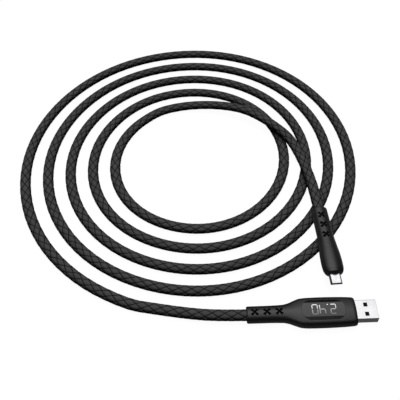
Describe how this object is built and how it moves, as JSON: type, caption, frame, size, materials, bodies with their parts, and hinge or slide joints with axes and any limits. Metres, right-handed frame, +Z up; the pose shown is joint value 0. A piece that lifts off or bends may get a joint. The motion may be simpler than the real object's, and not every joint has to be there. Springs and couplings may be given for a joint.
{
  "type": "usb power meter cable",
  "caption": "Charging lead with a USB-A plug that holds a small power meter with a lit numeric display, a long laid-out coiled cord and a Micro-B plug.",
  "frame": {"origin": "on the resting surface, under the middle of the meter plug's box, from its rear face to the tip of its USB-A shell", "axes": "+X along the meter plug towards the tip of its USB-A shell, +Y to its left seen from above, where the cord's coil lies, +Z up"},
  "size_m": [0.2214, 0.2411, 0.0122],
  "materials": {
    "soft_black_overmould": "matte soft-touch moulding",
    "cord_jacket": "braided jacket with a crossed relief",
    "hard_black_plastic": "moulded",
    "smoked_lens": "polished smoked window",
    "display_block": "moulded",
    "display_glow": "lit segments",
    "circuit_board": "solder mask",
    "chip_case": "moulded",
    "ceramic_tan": "fired ceramic",
    "nickel_shell": "bright nickel plate",
    "contact_carrier": "moulded",
    "gold_contact": "gold plate",
    "crimp_steel": "stamped",
    "wire_red": "extruded insulation",
    "wire_white": "extruded insulation",
    "wire_green": "extruded insulation",
    "wire_black": "extruded insulation"
  },
  "bodies": {
    "cable": {"board_capacitors": "ceramic_tan", "cord_clamp_meter": "crimp_steel", "cord_clamp_micro": "crimp_steel", "cord_coil": "cord_jacket", "cord_crossing": "cord_jacket", "cord_lead": "cord_jacket", "core_lower": "hard_black_plastic", "core_upper": "hard_black_plastic", "display_lens": "smoked_lens", "display_module": "display_block", "display_segments": "display_glow", "jacket_end_meter": "cord_jacket", "jacket_end_micro": "cord_jacket", "meter_board": "circuit_board", "meter_chip": "chip_case", "meter_overmould": "soft_black_overmould", "micro_contacts": "gold_contact", "micro_core": "hard_black_plastic", "micro_heel_block": "contact_carrier", "micro_overmould": "soft_black_overmould", "micro_shell": "nickel_shell", "micro_tongue": "contact_carrier", "power_diode": "chip_case", "shunt_resistor": "chip_case", "usb_a_contacts": "gold_contact", "usb_a_shell": "nickel_shell", "usb_a_stuffer": "contact_carrier", "usb_a_tongue": "contact_carrier", "wire_black_meter": "wire_black", "wire_black_micro": "wire_black", "wire_green_meter": "wire_green", "wire_green_micro": "wire_green", "wire_red_meter": "wire_red", "wire_red_micro": "wire_red", "wire_white_meter": "wire_white", "wire_white_micro": "wire_white"},
    "latch_near_body": {"micro_latch_near": "nickel_shell"},
    "latch_far_body": {"micro_latch_far": "nickel_shell"}
  },
  "joints": [
    {"name": "latch_near", "type": "hinge", "parent": "cable", "child": "latch_near_body", "pos_m": [0.01314, 0.02574, 0.00779], "axis": [-0.9992, -0.0401, 0], "range_deg": [0, 2.4], "stiffness_Nm_per_rad": 0.002, "springref_deg": -5.73},
    {"name": "latch_far", "type": "hinge", "parent": "cable", "child": "latch_far_body", "pos_m": [0.01803, 0.02593, 0.00779], "axis": [-0.9992, -0.0401, 0], "range_deg": [0, 2.4], "stiffness_Nm_per_rad": 0.002, "springref_deg": -5.73}
  ]
}
